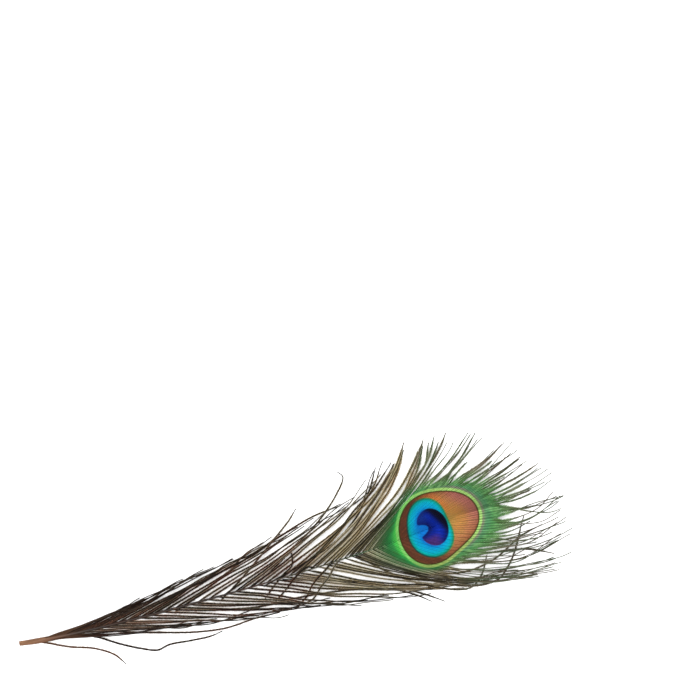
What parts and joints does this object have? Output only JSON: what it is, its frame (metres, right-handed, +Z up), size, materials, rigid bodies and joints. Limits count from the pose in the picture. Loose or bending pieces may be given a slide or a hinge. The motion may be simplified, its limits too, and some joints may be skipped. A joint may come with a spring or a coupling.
{
  "type": "peacock feather",
  "caption": "Cut peacock train feather lying flat: tapered shaft, long loose side barbs, and a close round eye with a wide fringe of barb tips.",
  "frame": {"origin": "on the flat underside of the quill, 15 mm from its cut end", "axes": "+X along the feather from the quill to the tip of the eye, +Z up from the surface it lies on"},
  "size_m": [0.2833, 0.0893, 0.0062],
  "materials": {
    "vane": "satin barbs, structural blue, green and copper in the eye",
    "shaft": "smooth keratin, tan at the quill and pale grey higher up"
  },
  "bodies": {
    "root": {"feather": "vane"}
  },
  "joints": []
}
